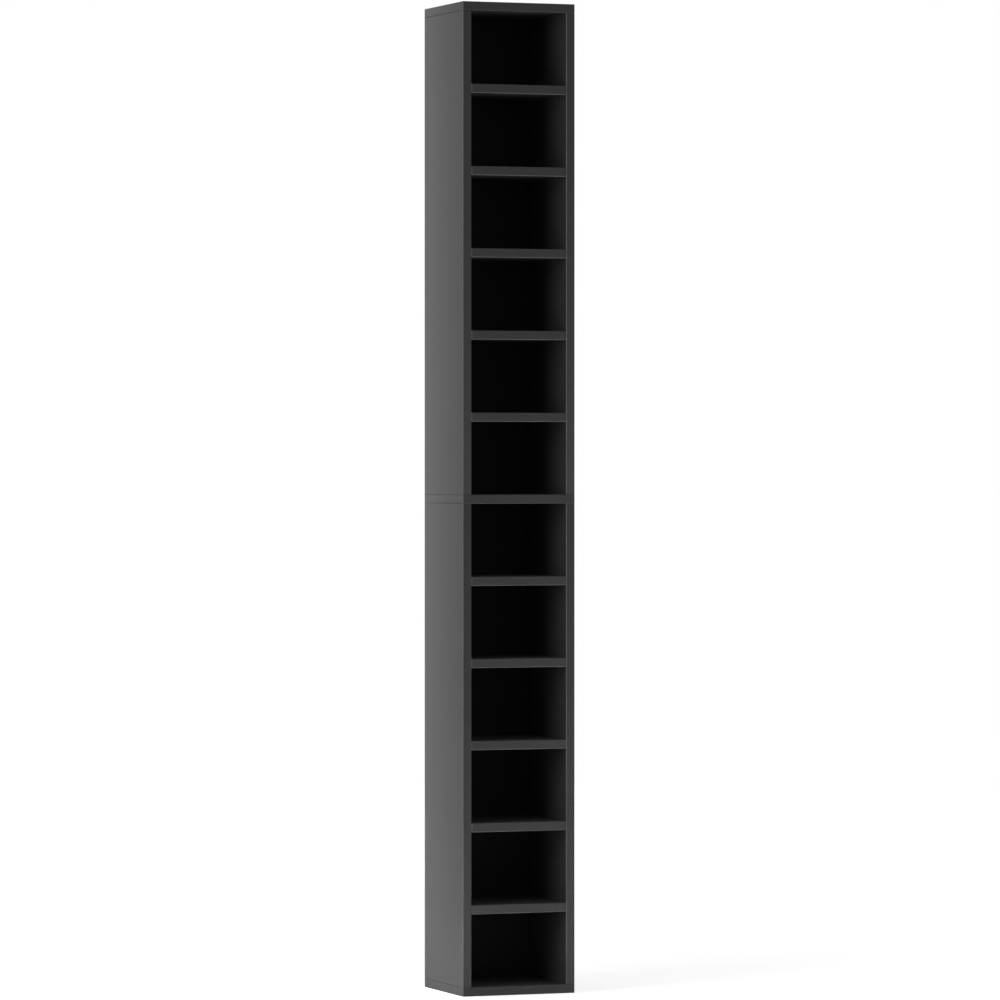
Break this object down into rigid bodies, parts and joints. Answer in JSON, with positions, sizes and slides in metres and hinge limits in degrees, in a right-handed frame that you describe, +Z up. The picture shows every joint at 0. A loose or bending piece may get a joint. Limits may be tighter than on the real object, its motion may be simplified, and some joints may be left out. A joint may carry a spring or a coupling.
{
  "type": "disc storage tower",
  "caption": "Tall, narrow open-fronted storage tower for discs, in two sections of square compartments with loose shelves on pegs.",
  "frame": {"origin": "on the floor, under the centre of the tower", "axes": "+Z up, the open front faces -Y, +X to the right seen from the front"},
  "size_m": [0.212, 0.202, 1.76],
  "materials": {
    "melamine_board": "satin",
    "hardboard_back": "matte",
    "black_nylon": "satin"
  },
  "bodies": {
    "carcass": {"bottom_panel": "melamine_board", "middle_panel": "melamine_board", "top_panel": "melamine_board", "lower_left_side": "melamine_board", "lower_right_side": "melamine_board", "upper_left_side": "melamine_board", "upper_right_side": "melamine_board", "lower_back_panel": "hardboard_back", "upper_back_panel": "hardboard_back", "shelf_1_support_left_front": "black_nylon", "shelf_1_support_left_rear": "black_nylon", "shelf_1_support_right_front": "black_nylon", "shelf_1_support_right_rear": "black_nylon", "shelf_2_support_left_front": "black_nylon", "shelf_2_support_left_rear": "black_nylon", "shelf_2_support_right_front": "black_nylon", "shelf_2_support_right_rear": "black_nylon", "shelf_3_support_left_front": "black_nylon", "shelf_3_support_left_rear": "black_nylon", "shelf_3_support_right_front": "black_nylon", "shelf_3_support_right_rear": "black_nylon", "shelf_4_support_left_front": "black_nylon", "shelf_4_support_left_rear": "black_nylon", "shelf_4_support_right_front": "black_nylon", "shelf_4_support_right_rear": "black_nylon", "shelf_5_support_left_front": "black_nylon", "shelf_5_support_left_rear": "black_nylon", "shelf_5_support_right_front": "black_nylon", "shelf_5_support_right_rear": "black_nylon", "shelf_6_support_left_front": "black_nylon", "shelf_6_support_left_rear": "black_nylon", "shelf_6_support_right_front": "black_nylon", "shelf_6_support_right_rear": "black_nylon", "shelf_7_support_left_front": "black_nylon", "shelf_7_support_left_rear": "black_nylon", "shelf_7_support_right_front": "black_nylon", "shelf_7_support_right_rear": "black_nylon", "shelf_8_support_left_front": "black_nylon", "shelf_8_support_left_rear": "black_nylon", "shelf_8_support_right_front": "black_nylon", "shelf_8_support_right_rear": "black_nylon", "shelf_9_support_left_front": "black_nylon", "shelf_9_support_left_rear": "black_nylon", "shelf_9_support_right_front": "black_nylon", "shelf_9_support_right_rear": "black_nylon", "shelf_10_support_left_front": "black_nylon", "shelf_10_support_left_rear": "black_nylon", "shelf_10_support_right_front": "black_nylon", "shelf_10_support_right_rear": "black_nylon"},
    "shelf_1_board": {"shelf_1": "melamine_board"},
    "shelf_2_board": {"shelf_2": "melamine_board"},
    "shelf_3_board": {"shelf_3": "melamine_board"},
    "shelf_4_board": {"shelf_4": "melamine_board"},
    "shelf_5_board": {"shelf_5": "melamine_board"},
    "shelf_6_board": {"shelf_6": "melamine_board"},
    "shelf_7_board": {"shelf_7": "melamine_board"},
    "shelf_8_board": {"shelf_8": "melamine_board"},
    "shelf_9_board": {"shelf_9": "melamine_board"},
    "shelf_10_board": {"shelf_10": "melamine_board"}
  },
  "joints": [
    {"name": "shelf_1_draw", "type": "slide", "parent": "carcass", "child": "shelf_1_board", "axis": [0, -1, 0], "range_m": [0, 0.2]},
    {"name": "shelf_2_draw", "type": "slide", "parent": "carcass", "child": "shelf_2_board", "axis": [0, -1, 0], "range_m": [0, 0.2]},
    {"name": "shelf_3_draw", "type": "slide", "parent": "carcass", "child": "shelf_3_board", "axis": [0, -1, 0], "range_m": [0, 0.2]},
    {"name": "shelf_4_draw", "type": "slide", "parent": "carcass", "child": "shelf_4_board", "axis": [0, -1, 0], "range_m": [0, 0.2]},
    {"name": "shelf_5_draw", "type": "slide", "parent": "carcass", "child": "shelf_5_board", "axis": [0, -1, 0], "range_m": [0, 0.2]},
    {"name": "shelf_6_draw", "type": "slide", "parent": "carcass", "child": "shelf_6_board", "axis": [0, -1, 0], "range_m": [0, 0.2]},
    {"name": "shelf_7_draw", "type": "slide", "parent": "carcass", "child": "shelf_7_board", "axis": [0, -1, 0], "range_m": [0, 0.2]},
    {"name": "shelf_8_draw", "type": "slide", "parent": "carcass", "child": "shelf_8_board", "axis": [0, -1, 0], "range_m": [0, 0.2]},
    {"name": "shelf_9_draw", "type": "slide", "parent": "carcass", "child": "shelf_9_board", "axis": [0, -1, 0], "range_m": [0, 0.2]},
    {"name": "shelf_10_draw", "type": "slide", "parent": "carcass", "child": "shelf_10_board", "axis": [0, -1, 0], "range_m": [0, 0.2]}
  ]
}
